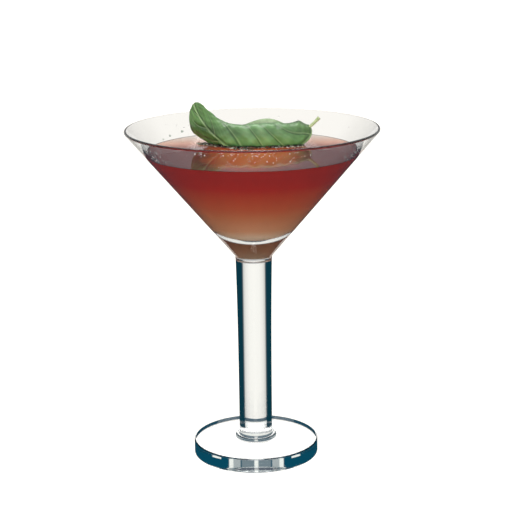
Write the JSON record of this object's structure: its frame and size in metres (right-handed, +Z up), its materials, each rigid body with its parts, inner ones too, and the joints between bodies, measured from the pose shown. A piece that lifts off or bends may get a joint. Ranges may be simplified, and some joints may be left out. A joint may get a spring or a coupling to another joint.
{
  "type": "strawberry martini",
  "caption": "Strawberry martini in a conical stemmed cocktail glass, a folded basil leaf floating on the drink.",
  "frame": {"origin": "middle of the foot's underside, on the glass's axis", "axes": "+Z up along the glass's axis, +X from the axis towards the leaf's stalk, -Y towards the side the picture shows"},
  "size_m": [0.12, 0.12, 0.1714],
  "materials": {
    "martini_glass": "clear, fire-polished",
    "drink": null,
    "basil_leaf": null
  },
  "bodies": {
    "root": {"martini_glass": "martini_glass", "drink": "drink", "basil_leaf": "basil_leaf"}
  },
  "joints": []
}
